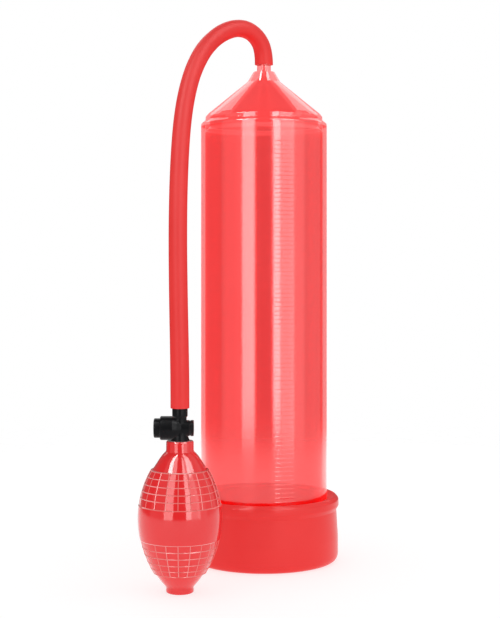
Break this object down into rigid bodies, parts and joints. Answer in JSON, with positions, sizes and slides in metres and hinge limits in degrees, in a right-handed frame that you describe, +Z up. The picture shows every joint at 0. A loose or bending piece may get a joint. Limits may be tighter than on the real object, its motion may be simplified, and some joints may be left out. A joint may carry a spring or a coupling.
{
  "type": "hand vacuum pump",
  "caption": "Squeeze-bulb vacuum pump: clear graduated cylinder with a cone top and soft base sleeve, and a hose to a ribbed bulb with a push-button release valve.",
  "frame": {"origin": "centre of the sleeve's mouth, at floor level", "axes": "+Z up along the cylinder, -Y the front with the scale, -X towards the bulb"},
  "size_m": [0.0906, 0.1206, 0.2564],
  "materials": {
    "clear_red_plastic": "clear, gloss",
    "red_sleeve_rubber": "satin",
    "red_hose_rubber": "satin",
    "red_bulb_vinyl": "gloss",
    "black_plastic": "satin",
    "black_rubber": "matt",
    "spring_steel": "drawn wire"
  },
  "bodies": {
    "base": {"base_sleeve": "red_sleeve_rubber"},
    "cylinder": {"cylinder_tube": "clear_red_plastic", "cone_cap": "clear_red_plastic"},
    "hose_line": {"hose": "red_hose_rubber"},
    "squeeze_unit": {"valve_body": "black_plastic", "end_cap": "black_plastic", "stem_o_ring": "black_rubber", "release_spring": "spring_steel", "inlet_cage": "black_plastic", "bulb_shell": "red_bulb_vinyl", "exhaust_plug": "black_plastic", "exhaust_cap": "black_plastic"},
    "release": {"release_button": "black_plastic", "release_stem": "spring_steel", "stem_seal": "black_rubber"},
    "inlet_flap": {"inlet_disc": "black_rubber"},
    "exhaust_flap": {"exhaust_umbrella": "black_rubber"}
  },
  "joints": [
    {"name": "cylinder_lift", "type": "slide", "parent": "base", "child": "cylinder", "axis": [0, 0, 1], "range_m": [0, 0.035]},
    {"name": "hose_pull_off", "type": "slide", "parent": "cylinder", "child": "hose_line", "axis": [0, 0, 1], "range_m": [0, 0.012]},
    {"name": "hose_flex", "type": "hinge", "parent": "hose_line", "child": "squeeze_unit", "pos_m": [-0.0383, -0.056, 0.15], "axis": [0, 1, 0], "range_deg": [0, 60], "stiffness_Nm_per_rad": 0.01, "deforming": ["hose"]},
    {"name": "release_push", "type": "slide", "parent": "squeeze_unit", "child": "release", "axis": [1, 0, 0], "range_m": [0, 0.0015], "stiffness_N_per_m": 500, "springref_m": -0.004, "deforming": ["release_spring"]},
    {"name": "inlet_lift", "type": "slide", "parent": "squeeze_unit", "child": "inlet_flap", "axis": [0, 0, 1], "range_m": [0, 0.00095]},
    {"name": "exhaust_open", "type": "slide", "parent": "squeeze_unit", "child": "exhaust_flap", "axis": [0, 0, -1], "range_m": [0, 0.0007], "stiffness_N_per_m": 60, "springref_m": -0.0005, "deforming": ["bulb_shell"]}
  ]
}
